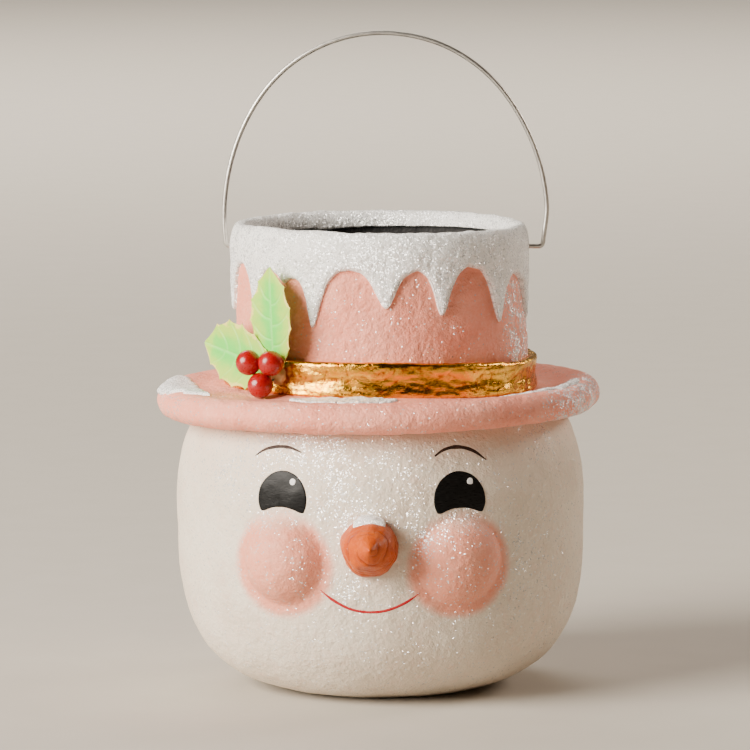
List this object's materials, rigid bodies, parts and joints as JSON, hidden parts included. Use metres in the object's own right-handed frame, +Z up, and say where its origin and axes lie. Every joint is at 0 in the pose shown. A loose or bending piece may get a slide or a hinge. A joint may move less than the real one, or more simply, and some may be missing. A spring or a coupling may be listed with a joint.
{
  "type": "snowman head bucket",
  "caption": "Papier-mache pail shaped as a smiling snowman's head in a top hat, open at the crown, with icing drips, a gold band, a holly sprig and a swinging wire bail.",
  "frame": {"origin": "centre of the flat base that the head stands on", "axes": "+Z up, the face looks along -Y, +X is the viewer's right, left and right in the names are the viewer's, and the bail's pivot lies along X"},
  "size_m": [0.2585, 0.2833, 0.3804],
  "materials": {
    "white_papier_mache": "matte pearl paint with fine glitter over papier-mache, black paint inside",
    "cheek_papier_mache": "airbrushed pink over papier-mache with glitter on the upper side",
    "orange_papier_mache": "satin orange paint over papier-mache",
    "pink_papier_mache": "matte pink paint over papier-mache, black paint inside",
    "glitter_snow": "white paste with glitter",
    "glitter_icing": "white paste with coarse glitter",
    "black_enamel": "gloss paint film",
    "white_enamel": "gloss paint film",
    "brown_enamel": "thin paint stroke",
    "red_enamel": "thin paint stroke",
    "gold_foil": "crinkled gold leaf over a papier-mache strip",
    "clear_glue": "set hot glue",
    "green_leaf": "embossed leaf, mint in the middle and yellow-green at the edge",
    "red_berry": "gloss lacquer",
    "green_wire": "wrapped florist's wire",
    "galvanised_wire": "galvanised steel wire"
  },
  "bodies": {
    "pail": {"head_shell": "white_papier_mache", "left_cheek": "cheek_papier_mache", "right_cheek": "cheek_papier_mache", "carrot_nose": "orange_papier_mache", "nose_snow": "glitter_snow", "left_eye": "black_enamel", "right_eye": "black_enamel", "left_eye_glint": "white_enamel", "right_eye_glint": "white_enamel", "left_brow": "brown_enamel", "right_brow": "brown_enamel", "smile": "red_enamel", "hat_brim": "pink_papier_mache", "hat_crown": "pink_papier_mache", "hat_band": "gold_foil", "crown_icing": "glitter_icing", "brim_snow_left": "glitter_snow", "brim_snow_front": "glitter_snow", "brim_snow_right": "glitter_snow", "brim_snow_back": "glitter_snow", "sprig_glue": "clear_glue", "holly_leaf_upper": "green_leaf", "holly_leaf_lower": "green_leaf", "holly_berry_left": "red_berry", "holly_berry_right": "red_berry", "holly_berry_lower": "red_berry", "berry_stem_left": "green_wire", "berry_stem_right": "green_wire", "berry_stem_lower": "green_wire"},
    "bail": {"bail_wire": "galvanised_wire"}
  },
  "joints": [
    {"name": "bail_swing", "type": "hinge", "parent": "pail", "child": "bail", "pos_m": [0, 0, 0.256], "axis": [1, 0, 0], "range_deg": [-128, 118]}
  ]
}
